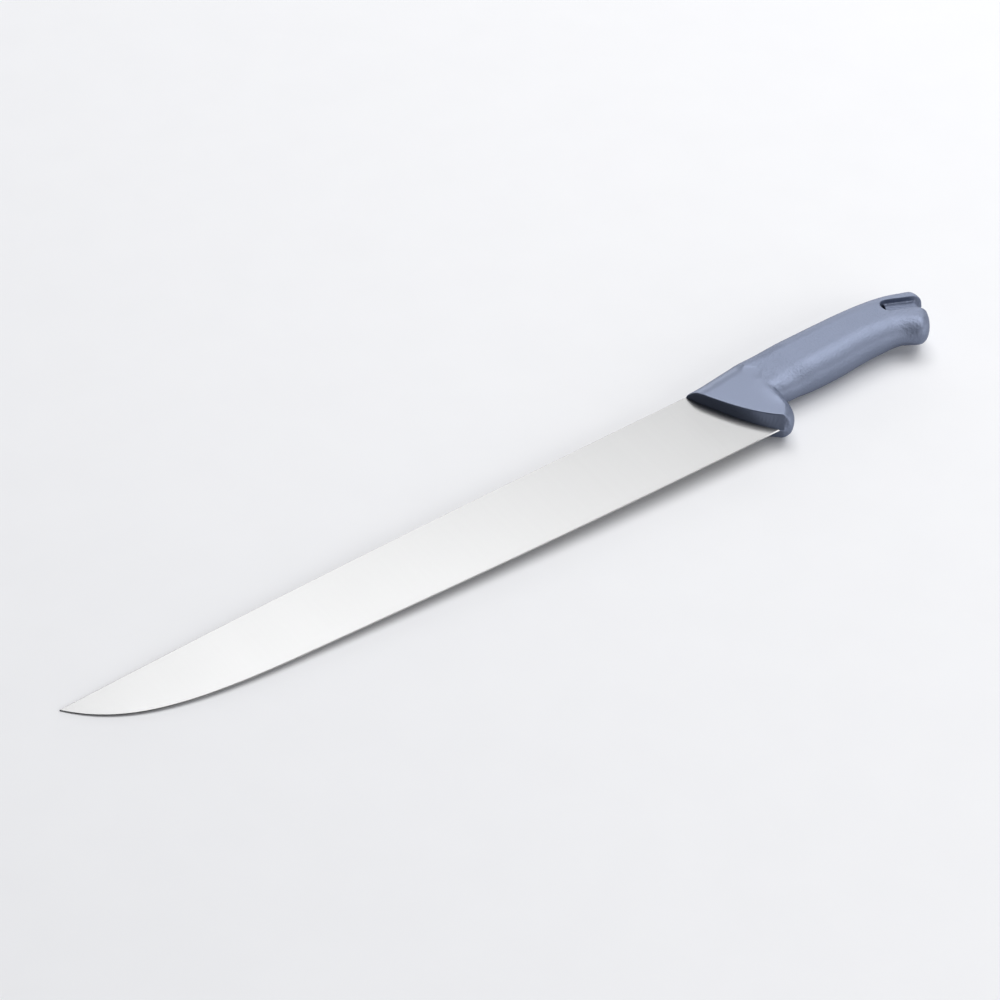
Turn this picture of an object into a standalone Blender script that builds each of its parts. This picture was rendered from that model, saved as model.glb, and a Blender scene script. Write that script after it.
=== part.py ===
"""A butcher knife with a long curved blade and a moulded plastic handle.

The knife lies on its side. X runs along the blade towards the butt of the handle, Y runs from the
cutting edge towards the spine, and Z points up, square to the flat of the blade. Outlines are drawn
from a datum at the corner where the spine of the blade meets the guard, on the middle plane of the
blade. At the end the knife is moved so that the origin is below the centre of its box. All sizes are
in metres.
"""
import math
from collections import namedtuple

import bmesh
import bpy
from mathutils import Matrix, Vector

# Blade outline
BLADE_LENGTH = 0.3984
BLADE_WIDTH = 0.0505
TIP_DROP = 0.0047
SPINE_CURVE_LENGTH = 0.290
BELLY_LENGTH = 0.1184
WIDTH_AT_BELLY = 0.0434
EDGE_TAPER_ANGLE = math.radians(2.3)
TIP_ANGLE = math.radians(53.0)

# Blade thicknesses
SPINE_THICKNESS = 0.0030
TIP_THICKNESS = 0.0016
THICKNESS_BEHIND_EDGE = 0.0008
EDGE_BEVEL_WIDTH = 0.0014

# Heel and tang, hidden in the handle
HEEL_EMBED = 0.0030
SPINE_COVER = 0.0070
TANG_COVER_SPINE = 0.0115
TANG_COVER_BELLY = 0.0080
TANG_TO_SLOT = 0.0200
TANG_CORNER = 0.0030
KEY_HOLE_DIAMETER = 0.0070
KEY_HOLE_COUNT = 3
FIRST_KEY_HOLE = 0.0500
CLEARANCE = 0.0003

# Guard
GUARD_THICKNESS = 0.0166
GUARD_OVERHANG = 0.0017
FRONT_SLANT = 0.0266
FRONT_BOW = 0.0044
FACET_SETBACK = 0.0065
GUARD_SPINE_LENGTH = 0.0300
GUARD_TIP_LENGTH = 0.0168
GUARD_ROUND_SPINE = 0.0120
GUARD_ROUND_BELLY = 0.0265

# Grip
GRIP_WIDTH = 0.0361
GRIP_RISE = 0.0040
GRIP_THICKNESS = 0.0224
GRIP_ROUND_SPINE = 0.0110
GRIP_ROUND_BELLY = 0.0130

# Butt
HANDLE_REACH = 0.1551
BUTT_DROP = 0.0029
BUTT_WIDTH = 0.0380
BUTT_THICKNESS = 0.0180
BUTT_ROUND_BELLY = 0.0110
BUTT_LEAN = math.radians(27.7)
BUTT_DOME = 0.0085
DOME_FULLNESS = 2.2

# Slot and hang hole in the butt
SLOT_WIDTH = 0.0100
SLOT_FROM_END = 0.0198
SLOT_DROP = 0.0112
SLOT_ANGLE = math.radians(22.0)
HANG_HOLE_LENGTH = 0.0038
WEB_LENGTH = 0.0185
WEB_THICKNESS = 0.0118
WEB_END_THICKNESS = 0.0100

# Facets of the round shapes
RINGS_BETWEEN_STATIONS = 3
STEPS_IN_QUARTER = 6
STEPS_IN_FLAT = 4
DOME_RINGS = 5
EDGE_STEPS = 10
BELLY_STEPS = 14
HOLE_SIDES = 24
CORNER_STEPS = 4
SMOOTH_ANGLE = math.radians(35.0)

Station = namedtuple("Station", "spine belly half round_spine round_belly fullness over")


# Small helpers

def clear_objects():
    """Remove every object, so that the script always starts from an empty scene."""
    for old in list(bpy.data.objects):
        bpy.data.objects.remove(old, do_unlink=True)


def make_material(name, color, roughness, metallic):
    """A plain finish for one piece."""
    material = bpy.data.materials.new(name)
    material.use_nodes = True
    shader = material.node_tree.nodes["Principled BSDF"]
    shader.inputs["Base Color"].default_value = (*color, 1.0)
    shader.inputs["Roughness"].default_value = roughness
    shader.inputs["Metallic"].default_value = metallic
    return material


def make_object(name, bm, material=None):
    """Turn a bmesh into an object with outward faces and smooth shading on its round parts."""
    bmesh.ops.recalc_face_normals(bm, faces=bm.faces)
    mesh = bpy.data.meshes.new(name)
    bm.to_mesh(mesh)
    bm.free()
    if material:
        mesh.materials.append(material)
        mesh.shade_smooth()
        mesh.set_sharp_from_angle(angle=SMOOTH_ANGLE)
    piece = bpy.data.objects.new(name, mesh)
    bpy.context.scene.collection.objects.link(piece)
    return piece


def make_cutter(name, bm):
    """A guide solid that only cuts or joins, and is not part of the knife."""
    cutter = make_object(name, bm)
    cutter.hide_render = True
    cutter.display_type = "WIRE"
    return cutter


def combine(piece, other, operation):
    """Join another solid to a piece, or cut it away."""
    modifier = piece.modifiers.new(f"{operation.lower()} {other.name}", "BOOLEAN")
    modifier.operation = operation
    modifier.object = other


def prism(outline, low, high):
    """A closed solid between two heights over a plan outline."""
    bm = bmesh.new()
    base = bm.faces.new([bm.verts.new((x, y, low)) for x, y in outline])
    lifted = bmesh.ops.extrude_face_region(bm, geom=[base])["geom"]
    moved = [item for item in lifted if isinstance(item, bmesh.types.BMVert)]
    bmesh.ops.translate(bm, verts=moved, vec=(0.0, 0.0, high - low))
    return bm


def skin(bm, ring, following):
    """Close the strip between two rings of as many points."""
    count = len(ring)
    for index in range(count):
        after = (index + 1) % count
        bm.faces.new((ring[index], ring[after], following[after], following[index]))


def cap_to_point(bm, ring, point):
    """Close a ring with a fan of faces to one point."""
    for index in range(len(ring)):
        bm.faces.new((ring[index], ring[(index + 1) % len(ring)], point))


def bezier(start, start_handle, end_handle, end, steps):
    """Points along a cubic curve, both ends included."""
    result = []
    for index in range(steps + 1):
        t = index / steps
        u = 1.0 - t
        place = u ** 3 * start + 3 * u * u * t * start_handle
        result.append(place + 3 * u * t * t * end_handle + t ** 3 * end)
    return result


# Lines that the blade and the handle share

def guard_drop():
    """How far the guard reaches below the line of the spine."""
    return BLADE_WIDTH + GUARD_OVERHANG


def front_line(y, inset=0.0):
    """Point on the straight slanted line behind the guard's front, at a height on the blade."""
    return Vector((-y / guard_drop() * FRONT_SLANT + inset, y))


def front_bow(part):
    """How far the guard's front bulges before that line: more and more, then quickly back."""
    part = min(max(part, 0.0), 1.0)
    return FRONT_BOW * part ** 0.8 * (1.0 - part ** 5)


def grip_belly():
    """Height of the underside of the grip, where the fingers close round it."""
    return GRIP_RISE - GRIP_WIDTH


def slot_centre():
    """Centre of the round inner end of the slot in the butt."""
    return Vector((HANDLE_REACH - SLOT_FROM_END, -SLOT_DROP))


def tang_limits():
    """Low and high edge of the tang across the knife, and its end along the knife."""
    low = grip_belly() + TANG_COVER_BELLY
    high = GRIP_RISE - TANG_COVER_SPINE
    end = slot_centre().x - SLOT_WIDTH / 2 - TANG_TO_SLOT
    return low, high, end


def key_hole_centres():
    """Centres of the holes through the tang, evenly spread along it."""
    low, high, end = tang_limits()
    last = end - (high - low) / 2
    step = (last - FIRST_KEY_HOLE) / (KEY_HOLE_COUNT - 1)
    return [Vector((FIRST_KEY_HOLE + index * step, (low + high) / 2)) for index in range(KEY_HOLE_COUNT)]


# Blade

def spine_height(x):
    """Height of the spine line: straight, then falling gently towards the tip."""
    run = max(0.0, SPINE_CURVE_LENGTH - BLADE_LENGTH - x)
    return -TIP_DROP * (run / SPINE_CURVE_LENGTH) ** 2


def cutting_edge():
    """Points of the cutting edge: a long run that tapers slightly, then the curved belly."""
    heel = front_line(-BLADE_WIDTH, HEEL_EMBED)
    belly = Vector((BELLY_LENGTH - BLADE_LENGTH, -WIDTH_AT_BELLY))
    tip = Vector((-BLADE_LENGTH, -TIP_DROP))
    taper = Vector((-math.cos(EDGE_TAPER_ANGLE), math.sin(EDGE_TAPER_ANGLE)))
    into_tip = Vector((-math.cos(TIP_ANGLE), math.sin(TIP_ANGLE)))
    level = Vector((0.4 * (belly.x - heel.x), 0.0))
    before_belly = belly + taper * 0.27 * (belly.x - heel.x)
    after_belly = belly + taper * 0.545 * BELLY_LENGTH
    before_tip = tip - into_tip * 0.3 * BELLY_LENGTH
    long_run = bezier(heel, heel + level, before_belly, belly, EDGE_STEPS)
    curve = bezier(belly, after_belly, before_tip, tip, BELLY_STEPS)
    return long_run + curve[1:]


def blade_body():
    """The ground blade: thick at the spine, thin behind the edge, with a small ground bevel."""
    bm = bmesh.new()
    edge = cutting_edge()
    heel, tip = edge[0], edge[-1]
    thin = THICKNESS_BEHIND_EDGE
    rings = []
    for point in edge[:-1]:
        part = (heel.x - point.x) / (heel.x - tip.x)
        spine_x = HEEL_EMBED - part * (HEEL_EMBED + BLADE_LENGTH)
        spine = Vector((spine_x, spine_height(spine_x)))
        width = (spine - point).length
        shoulder = point.lerp(spine, min(EDGE_BEVEL_WIDTH / width, 0.5))
        thick = SPINE_THICKNESS + (TIP_THICKNESS - SPINE_THICKNESS) * part
        thick = thin + (thick - thin) * min(1.0, width / WIDTH_AT_BELLY)
        rings.append([
            bm.verts.new((spine.x, spine.y, thick / 2)),
            bm.verts.new((shoulder.x, shoulder.y, thin / 2)),
            bm.verts.new((point.x, point.y, 0.0)),
            bm.verts.new((shoulder.x, shoulder.y, -thin / 2)),
            bm.verts.new((spine.x, spine.y, -thick / 2)),
        ])
    for ring, following in zip(rings, rings[1:]):
        skin(bm, ring, following)
    cap_to_point(bm, rings[-1], bm.verts.new((tip.x, tip.y, 0.0)))
    bm.faces.new(rings[0])
    return bm


def spine_notch():
    """The corner left off the heel at the spine, where the guard closes over the blade."""
    outline = []
    for part in (-1.0, 0.0, 0.5, 1.0):
        y = -part * SPINE_COVER
        outline.append(front_line(y, -CLEARANCE - front_bow(-y / guard_drop())))
    far = Vector((2 * (HEEL_EMBED + SPINE_COVER), 0.0))
    outline += [outline[-1] + far, outline[0] + far]
    return prism(outline, -SPINE_THICKNESS, SPINE_THICKNESS)


def tang_plate(margin):
    """The tang as a flat plate with two round corners, grown by a margin on every side."""
    low, high, end = tang_limits()
    outline = [
        front_line(low - margin, HEEL_EMBED / 2 - margin),
        Vector((end + margin, low - margin)),
        Vector((end + margin, high + margin)),
        front_line(high + margin, HEEL_EMBED / 2 - margin),
    ]
    bm = prism(outline, -SPINE_THICKNESS / 2 - margin, SPINE_THICKNESS / 2 + margin)
    far_x = max(vert.co.x for vert in bm.verts)
    corners = []
    for edge in bm.edges:
        first, second = (vert.co for vert in edge.verts)
        if first.x == second.x == far_x and first.y == second.y:
            corners.append(edge)
    bmesh.ops.bevel(
        bm, geom=corners, offset=TANG_CORNER, segments=CORNER_STEPS, profile=0.5, affect="EDGES",
    )
    return bm


def key_pins(radius, half_height):
    """Round pins where the tang's holes are."""
    bm = bmesh.new()
    for centre in key_hole_centres():
        place = Matrix.Translation((centre.x, centre.y, 0.0))
        bmesh.ops.create_cone(
            bm, cap_ends=True, segments=HOLE_SIDES, radius1=radius, radius2=radius,
            depth=2 * half_height, matrix=place,
        )
    return bm


def make_blade():
    """Blade and tang as one steel blank."""
    steel = make_material("brushed steel", (0.62, 0.62, 0.63), 0.32, 1.0)
    blade = make_object("blade", blade_body(), steel)
    combine(blade, make_cutter("spine notch", spine_notch()), "DIFFERENCE")
    combine(blade, make_cutter("tang plate", tang_plate(0.0)), "UNION")
    holes = make_cutter("key holes", key_pins(KEY_HOLE_DIAMETER / 2, SPINE_THICKNESS))
    combine(blade, holes, "DIFFERENCE")
    return blade


# Handle

def guard_stations():
    """Sections of the guard, whose flat facets end in a round tip below the heel of the blade.

    Each row gives the part of the guard's length and of the rise on the spine side, the part of the
    tip's length and of the climb to the grip on the belly side, how wide and how full the belly side
    is rounded, and how much higher than the facet that rounding would rise if it weren't cut flat.
    """
    half = GUARD_THICKNESS / 2
    heel = Vector((FRONT_SLANT, -guard_drop()))
    climb = grip_belly() + guard_drop()
    rows = [
        (0.000, 0.000, 0.000, 0.000, 0.143, 1.15, 1.00),
        (0.233, 0.100, 0.315, -0.040, 0.306, 1.90, 1.06),
        (0.537, 0.375, 0.682, 0.254, 0.472, 2.00, 1.13),
        (0.833, 0.675, 0.929, 0.657, 1.000, 2.00, 1.15),
        (1.000, 0.825, 1.000, 0.985, 0.377, 2.00, 1.00),
    ]
    stations = []
    for along, rise, along_tip, up, wide, fullness, over in rows:
        spine = Vector((along * GUARD_SPINE_LENGTH, rise * GRIP_RISE))
        belly = heel + Vector((along_tip * GUARD_TIP_LENGTH, up * climb))
        round_belly = wide * GUARD_ROUND_BELLY
        stations.append(Station(spine, belly, half, GUARD_ROUND_SPINE, round_belly, fullness, over))
    return stations


def grip_stations():
    """Sections where the grip swells behind the guard, runs level, and narrows into the butt.

    Each row gives the part of the way to the butt on the spine side and on the belly side, the rise
    on the spine side, the lift on the belly side, how far the thickness has changed, and how wide
    the belly side is rounded.
    """
    start = guard_stations()[-1]
    corner = Vector((HANDLE_REACH, -BUTT_DROP))
    under = corner - Vector((math.sin(BUTT_LEAN), math.cos(BUTT_LEAN))) * BUTT_WIDTH
    guard_half, grip_half, butt_half = GUARD_THICKNESS / 2, GRIP_THICKNESS / 2, BUTT_THICKNESS / 2
    swelling = [
        (0.047, 0.041, 0.925, 0.000, 0.10, 0.88),
        (0.092, 0.087, 0.925, -0.006, 0.24, 0.96),
        (0.143, 0.134, 0.900, -0.006, 0.45, 1.00),
        (0.280, 0.272, 0.950, -0.011, 1.00, 1.00),
        (0.448, 0.464, 1.000, 0.000, 1.00, 1.00),
    ]
    narrowing = [
        (0.624, 0.644, 1.025, 0.039, 0.09, 1.00),
        (0.775, 0.788, 0.825, 0.042, 0.36, 1.00),
        (0.887, 0.905, 0.375, 0.014, 0.73, 1.00),
    ]
    stations = []
    for rows, first, last in ((swelling, guard_half, grip_half), (narrowing, grip_half, butt_half)):
        for above, below, rise, lift, change, wide in rows:
            spine_x = start.spine.x + above * (corner.x - start.spine.x)
            belly_x = start.belly.x + below * (under.x - start.belly.x)
            spine = Vector((spine_x, rise * GRIP_RISE))
            belly = Vector((belly_x, grip_belly() + lift * GRIP_WIDTH))
            half = first + change * (last - first)
            round_belly = wide * GRIP_ROUND_BELLY
            stations.append(Station(spine, belly, half, GRIP_ROUND_SPINE, round_belly, 2.0, 1.0))
    stations.append(Station(corner, under, butt_half, GRIP_ROUND_SPINE, BUTT_ROUND_BELLY, 2.0, 1.0))
    return stations


def blend(before, first, second, after, t):
    """Smooth value between two neighbours in a row."""
    curve = 2 * first + (second - before) * t
    curve += (2 * before - 5 * first + 4 * second - after) * t * t
    curve += (3 * first - before - 3 * second + after) * t ** 3
    return curve / 2


def smooth_sections():
    """The drawn sections with more between them, on smooth curves.

    Thickness stays between its two neighbours, so that it never swells past a flat run.
    """
    rows = [[*row.spine, *row.belly, *row[2:]] for row in guard_stations() + grip_stations()]
    before = [2 * a - b for a, b in zip(rows[0], rows[1])]
    after = [2 * a - b for a, b in zip(rows[-1], rows[-2])]
    padded = [before] + rows + [after]
    result = []
    for index in range(len(rows) - 1):
        for step in range(RINGS_BETWEEN_STATIONS):
            t = step / RINGS_BETWEEN_STATIONS
            row = [blend(*values, t) for values in zip(*padded[index:index + 4])]
            thicknesses = sorted((rows[index][4], rows[index + 1][4]))
            row[4] = min(max(row[4], thicknesses[0]), thicknesses[1])
            result.append(row)
    result.append(rows[-1])
    return result


def section_profile(row):
    """Distance from the spine side and height along the upper half of a section.

    A flat top runs between a round spine side and a round belly side. Where the belly side would
    rise higher than the flat, only its lower part is used and the two meet in an edge.
    """
    width = (Vector(row[2:4]) - Vector(row[0:2])).length
    half, round_spine, round_belly, fullness, over = row[4:9]
    power = 2.0 / fullness
    start = math.asin(min(1.0, (1.0 / over) ** (1.0 / power)))
    used = 1.0 - max(math.cos(start), 0.0) ** power
    limit = min(1.0, 0.95 * width / (round_spine + used * round_belly))
    round_spine, round_belly = round_spine * limit, round_belly * limit
    steps = [index / STEPS_IN_QUARTER for index in range(STEPS_IN_QUARTER + 1)]
    angles = [0.5 * math.pi * step for step in steps]
    profile = [(round_spine * (1.0 - math.cos(angle)), half * math.sin(angle)) for angle in angles]
    flat_end = width - used * round_belly
    for index in range(1, STEPS_IN_FLAT):
        profile.append((round_spine + (flat_end - round_spine) * index / STEPS_IN_FLAT, half))
    for step in reversed(steps):
        inward = 1.0 - max(math.cos(start * step), 0.0) ** power
        height = min(half, half * over * math.sin(start * step) ** power)
        profile.append((width - round_belly * inward, height))
    return profile


def section_point(row, distance, height, setback):
    """Place of one point of a section.

    With a setback the flats start behind the middle plane, more so towards the heel, and the middle
    plane bulges forward. Both shape the front of the guard.
    """
    spine, belly = Vector(row[0:2]), Vector(row[2:4])
    part = distance / (belly - spine).length
    place = spine.lerp(belly, part)
    lean = FACET_SETBACK * part ** 3 * abs(height) / row[4]
    return Vector((place.x + setback * (lean - front_bow(part)), place.y, height))


def whole_section(row, setback):
    """All points of a section: over the top from the spine to the belly, and back below."""
    upper = section_profile(row)
    lower = [(distance, -height) for distance, height in reversed(upper[1:-1])]
    return [section_point(row, distance, height, setback) for distance, height in upper + lower]


def dome_sections(row):
    """Sections that shrink over the rounded end of the butt, and the point where they close."""
    spine, belly = Vector(row[0:2]), Vector(row[2:4])
    centre = (spine + belly) / 2
    across = (belly - spine).normalized()
    outward = Vector((-across.y, across.x))
    base = whole_section(row, 0.0)
    sections = []
    for index in range(1, DOME_RINGS + 1):
        angle = 0.5 * math.pi * index / (DOME_RINGS + 0.5)
        shrink = math.cos(angle) ** (2.0 / DOME_FULLNESS)
        reach = BUTT_DOME * math.sin(angle) ** (2.0 / DOME_FULLNESS)
        section = []
        for point in base:
            plan = centre + (point.to_2d() - centre) * shrink + outward * reach
            section.append(Vector((plan.x, plan.y, point.z * shrink)))
        sections.append(section)
    return sections, (centre + outward * BUTT_DOME).to_3d()


def close_front(bm, ring, row):
    """The front of the guard: strips from both facets to its middle line."""
    upper = section_profile(row)
    middle = [bm.verts.new(section_point(row, distance, 0.0, 1.0)) for distance, _ in upper[1:-1]]
    middle = [ring[0]] + middle + [ring[len(upper) - 1]]
    for index in range(len(upper) - 1):
        for side in (1, -1):
            corners = [ring[side * index], ring[side * (index + 1)], middle[index + 1], middle[index]]
            bm.faces.new(list(dict.fromkeys(corners)))


def handle_body():
    """The outer form of the handle, lofted through its sections and closed at both ends."""
    bm = bmesh.new()
    rows = smooth_sections()
    fade = 1.2 * RINGS_BETWEEN_STATIONS
    sections = [whole_section(row, max(0.0, 1.0 - index / fade) ** 1.5) for index, row in enumerate(rows)]
    dome, tip = dome_sections(rows[-1])
    rings = [[bm.verts.new(point) for point in section] for section in sections + dome]
    for ring, following in zip(rings, rings[1:]):
        skin(bm, ring, following)
    cap_to_point(bm, rings[-1], bm.verts.new(tip))
    close_front(bm, rings[0], rows[0])
    return bm


def slot_axes():
    """Directions along the slot towards the butt and across it towards the spine."""
    along = Vector((math.cos(SLOT_ANGLE), -math.sin(SLOT_ANGLE)))
    return along, Vector((-along.y, along.x))


def slot_web():
    """The web that stays at half depth in the slot, from the hang hole nearly to the butt's end."""
    along, aside = slot_axes()
    start = slot_centre() + along * (HANG_HOLE_LENGTH - SLOT_WIDTH / 2)
    bm = bmesh.new()
    rings = []
    for place, thickness in ((start, WEB_THICKNESS), (start + along * WEB_LENGTH, WEB_END_THICKNESS)):
        above, below = place + aside * SLOT_WIDTH, place - aside * SLOT_WIDTH
        half = thickness / 2
        corners = ((above, half), (below, half), (below, -half), (above, -half))
        rings.append([bm.verts.new((corner.x, corner.y, z)) for corner, z in corners])
    skin(bm, *rings)
    for ring in rings:
        bm.faces.new(ring)
    return bm


def slot_space():
    """The slot that is open at the butt, less its web."""
    along, aside = slot_axes()
    centre = slot_centre()
    radius = SLOT_WIDTH / 2
    far = along * (SLOT_FROM_END + 2 * BUTT_DOME)
    outline = [centre + far + aside * radius]
    for index in range(HOLE_SIDES // 2 + 1):
        angle = 2.0 * math.pi * index / HOLE_SIDES
        outline.append(centre + radius * (aside * math.cos(angle) - along * math.sin(angle)))
    outline.append(centre + far - aside * radius)
    space = make_cutter("slot space", prism(outline, -GRIP_THICKNESS, GRIP_THICKNESS))
    combine(space, make_cutter("slot web", slot_web()), "DIFFERENCE")
    return space


def heel_space():
    """Wedge-shaped space in the guard's front for the heel of the blade."""
    bm = bmesh.new()
    rings = []
    for y in (CLEARANCE - SPINE_COVER, -BLADE_WIDTH - CLEARANCE):
        part = min(1.0, -y / BLADE_WIDTH)
        thickness = SPINE_THICKNESS + (THICKNESS_BEHIND_EDGE - SPINE_THICKNESS) * part
        half = thickness / 2 + CLEARANCE
        front = front_line(y, -HEEL_EMBED - FRONT_BOW)
        back = front_line(y, HEEL_EMBED + CLEARANCE)
        rings.append([
            bm.verts.new((front.x, y, half)),
            bm.verts.new((back.x, y, half)),
            bm.verts.new((back.x, y, -half)),
            bm.verts.new((front.x, y, -half)),
        ])
    skin(bm, *rings)
    for ring in rings:
        bm.faces.new(ring)
    return bm


def tang_space():
    """The space that the tang fills, crossed by the posts that pass through its key holes."""
    space = make_cutter("tang space", tang_plate(CLEARANCE))
    posts = make_cutter("key posts", key_pins(KEY_HOLE_DIAMETER / 2 - CLEARANCE, GRIP_THICKNESS))
    combine(space, posts, "DIFFERENCE")
    return space


def make_handle():
    """The plastic moulding, hollow where the steel goes in."""
    plastic = make_material("moulded plastic", (0.20, 0.23, 0.33), 0.45, 0.0)
    handle = make_object("handle", handle_body(), plastic)
    combine(handle, slot_space(), "DIFFERENCE")
    combine(handle, make_cutter("heel space", heel_space()), "DIFFERENCE")
    combine(handle, tang_space(), "DIFFERENCE")
    return handle


def stand_on_origin(pieces):
    """Move the knife so that the origin is below the centre of its box."""
    graph = bpy.context.evaluated_depsgraph_get()
    points = [vert.co.copy() for piece in pieces for vert in piece.evaluated_get(graph).data.vertices]
    low = Vector(min(point[axis] for point in points) for axis in range(3))
    high = Vector(max(point[axis] for point in points) for axis in range(3))
    stand = bpy.data.objects.new("knife", None)
    for child in list(bpy.context.scene.objects):
        child.parent = stand
    bpy.context.scene.collection.objects.link(stand)
    stand.location = (-(low.x + high.x) / 2, -(low.y + high.y) / 2, -low.z)


clear_objects()
stand_on_origin([make_blade(), make_handle()])
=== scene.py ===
import math
from collections import namedtuple

import bmesh
import bpy
import numpy as np
from mathutils import Matrix, Vector, noise


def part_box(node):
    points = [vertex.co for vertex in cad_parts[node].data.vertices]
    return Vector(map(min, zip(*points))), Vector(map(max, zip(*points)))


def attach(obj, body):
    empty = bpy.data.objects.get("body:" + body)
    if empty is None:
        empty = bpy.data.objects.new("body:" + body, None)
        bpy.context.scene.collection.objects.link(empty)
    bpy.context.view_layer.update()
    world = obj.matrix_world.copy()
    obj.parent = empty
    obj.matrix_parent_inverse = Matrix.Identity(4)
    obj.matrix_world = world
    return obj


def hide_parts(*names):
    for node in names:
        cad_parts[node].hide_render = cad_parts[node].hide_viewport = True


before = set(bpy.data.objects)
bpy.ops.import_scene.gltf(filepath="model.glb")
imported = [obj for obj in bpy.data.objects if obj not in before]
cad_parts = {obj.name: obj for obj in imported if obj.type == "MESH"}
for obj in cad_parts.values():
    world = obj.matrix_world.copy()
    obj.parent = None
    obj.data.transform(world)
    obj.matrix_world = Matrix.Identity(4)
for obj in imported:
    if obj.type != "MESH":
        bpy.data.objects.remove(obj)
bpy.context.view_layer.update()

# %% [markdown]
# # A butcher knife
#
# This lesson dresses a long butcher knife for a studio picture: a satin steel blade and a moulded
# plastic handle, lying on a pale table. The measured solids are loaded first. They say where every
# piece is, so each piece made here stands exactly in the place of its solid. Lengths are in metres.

blade_low, blade_high = (Vector(corner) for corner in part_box("blade"))
handle_low, handle_high = (Vector(corner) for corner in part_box("handle"))

# %% [markdown]
# ## Where the drawing starts
#
# A knife maker draws from the corner where the spine of the blade meets the guard, on the middle
# plane of the blade. X runs to the butt, Y to the spine. The same datum keeps every number below
# short and easy to check with a rule, and one move at the end takes the piece to its solid.

# %% Datum
MM = 0.001
BLADE_LENGTH = 398.4 * MM
datum = Vector((blade_low.x + BLADE_LENGTH, blade_high.y, (handle_low.z + handle_high.z) / 2))
print("datum in the frame:", [round(value, 6) for value in datum])

# %% [markdown]
# ## Camera
#
# The photograph looks down on the knife from the side of its cutting edge, with a long lens that
# hardly narrows the far end. The place and the lens come from matching the straight lines of the
# knife: the spine, the guard's front and the slot in the butt. The camera is made first, because
# every later choice is judged through it.

# %% Camera
CAMERA_PLACE = (-0.82666, -1.10675, 1.2625)
CAMERA_AIM = (-0.00986, 0.01755, 0.0112)
LENS = 127.44
SENSOR_WIDTH = 36.0

camera_data = bpy.data.cameras.new("camera")
camera_data.lens = LENS
camera_data.sensor_width = SENSOR_WIDTH
camera = bpy.data.objects.new("camera", camera_data)
bpy.context.scene.collection.objects.link(camera)
camera.location = CAMERA_PLACE
view_line = Vector(CAMERA_AIM) - camera.location
camera.rotation_euler = view_line.to_track_quat("-Z", "Y").to_euler()
bpy.context.scene.camera = camera
print("camera is", round(view_line.length, 3), "m from the knife")

# %% [markdown]
# ## Small helpers
#
# Three steps come back for every piece: turning a bmesh into an object, cutting one solid with
# another, and freezing the result into plain faces. Small functions keep the later cells short.

# %% Helpers
def make_object(name, bm):
    """Turn a bmesh into an object with outward faces."""
    bmesh.ops.recalc_face_normals(bm, faces=bm.faces)
    mesh = bpy.data.meshes.new(name)
    bm.to_mesh(mesh)
    bm.free()
    made = bpy.data.objects.new(name, mesh)
    bpy.context.scene.collection.objects.link(made)
    return made


def combine(piece, other, operation):
    """Join another solid to a piece, or cut it away."""
    modifier = piece.modifiers.new(other.name, "BOOLEAN")
    modifier.operation = operation
    modifier.object = other
    freeze(piece)
    bpy.data.objects.remove(other, do_unlink=True)


def freeze(piece):
    """Replace a piece's mesh with the result of its modifiers."""
    graph = bpy.context.evaluated_depsgraph_get()
    finished = bpy.data.meshes.new_from_object(piece.evaluated_get(graph))
    piece.modifiers.clear()
    piece.data = finished


def prism(outline, low, high):
    """A closed solid between two heights over a plan outline."""
    bm = bmesh.new()
    base = bm.faces.new([bm.verts.new((x, y, low)) for x, y in outline])
    lifted = bmesh.ops.extrude_face_region(bm, geom=[base])["geom"]
    moved = [item for item in lifted if isinstance(item, bmesh.types.BMVert)]
    bmesh.ops.translate(bm, verts=moved, vec=(0.0, 0.0, high - low))
    return bm


def skin(bm, ring, following):
    """Close the strip between two rings of as many points."""
    count = len(ring)
    for index in range(count):
        after = (index + 1) % count
        bm.faces.new((ring[index], ring[after], following[after], following[index]))


def cap_to_point(bm, ring, point):
    """Close a ring with a fan of faces to one point."""
    for index in range(len(ring)):
        bm.faces.new((ring[index], ring[(index + 1) % len(ring)], point))


def bezier(start, start_handle, end_handle, end, steps):
    """Points along a cubic curve, both ends included."""
    result = []
    for index in range(steps + 1):
        t = index / steps
        u = 1.0 - t
        place = u ** 3 * start + 3 * u * u * t * start_handle
        result.append(place + 3 * u * t * t * end_handle + t ** 3 * end)
    return result

# %% [markdown]
# ## Lines that blade and handle share
#
# The guard is moulded tight round the heel of the blade, so both pieces use the same slanted line
# behind the guard's front. The front itself bows forward by a few millimetres. A power curve draws
# that bow: its start and end exponents say how soon it rises and how quickly it comes back.

# %% Shared lines
BLADE_WIDTH = 50.5 * MM
GUARD_DROP = 52.2 * MM
FRONT_SLANT = 26.6 * MM
FRONT_BOW = 4.4 * MM
FRONT_BOW_START = 0.8
FRONT_BOW_END = 5
GRIP_WIDTH = 36.1 * MM
GRIP_RISE = 4.0 * MM
HANDLE_REACH = 155.1 * MM
SLOT_WIDTH = 10.0 * MM
SLOT_FROM_END = 19.8 * MM
SLOT_DROP = 11.2 * MM
SNUG = 0.03 * MM

grip_belly = GRIP_RISE - GRIP_WIDTH
slot_centre = Vector((HANDLE_REACH - SLOT_FROM_END, -SLOT_DROP))


def front_line(y, inset=0.0):
    """Point on the straight line from the guard's spine corner to its heel corner."""
    return Vector((-y / GUARD_DROP * FRONT_SLANT + inset, y))


def front_bow(part):
    """How far the front bulges before that line: more and more, then quickly back at the heel."""
    part = min(max(part, 0.0), 1.0)
    return FRONT_BOW * part ** FRONT_BOW_START * (1.0 - part ** FRONT_BOW_END)


print("the front bulges", round(front_bow(0.7) / MM, 1), "mm before its line")

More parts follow.
